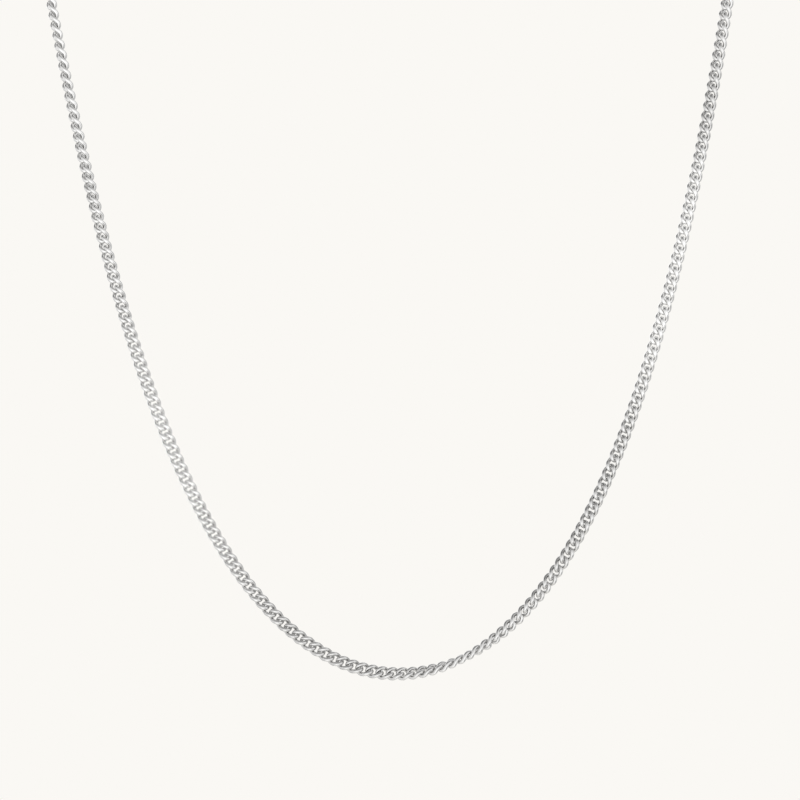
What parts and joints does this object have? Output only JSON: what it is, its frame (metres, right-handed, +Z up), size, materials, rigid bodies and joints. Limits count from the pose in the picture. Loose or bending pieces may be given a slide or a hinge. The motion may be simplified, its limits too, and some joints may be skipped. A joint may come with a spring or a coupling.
{
  "type": "curb chain necklace",
  "caption": "Fine curb chain necklace of twisted interlocking oval wire links, hanging in one open loop, closed at the back by a ring clasp between two small rings.",
  "frame": {"origin": "middle of the back of the loop, where the chain rests on the nape of the neck", "axes": "+Z up as worn, -Y to the front where the chain hangs, +X to the right hand side seen from the front"},
  "size_m": [0.1222, 0.0397, 0.1445],
  "materials": {
    "link_silver": "highly polished, tumbled smooth",
    "clasp_silver": "polished, with fine rub marks"
  },
  "bodies": {
    "root": {"chain_left": "link_silver", "chain_right": "link_silver", "clasp": "clasp_silver", "clasp_ring": "clasp_silver", "end_ring": "clasp_silver"}
  },
  "joints": []
}
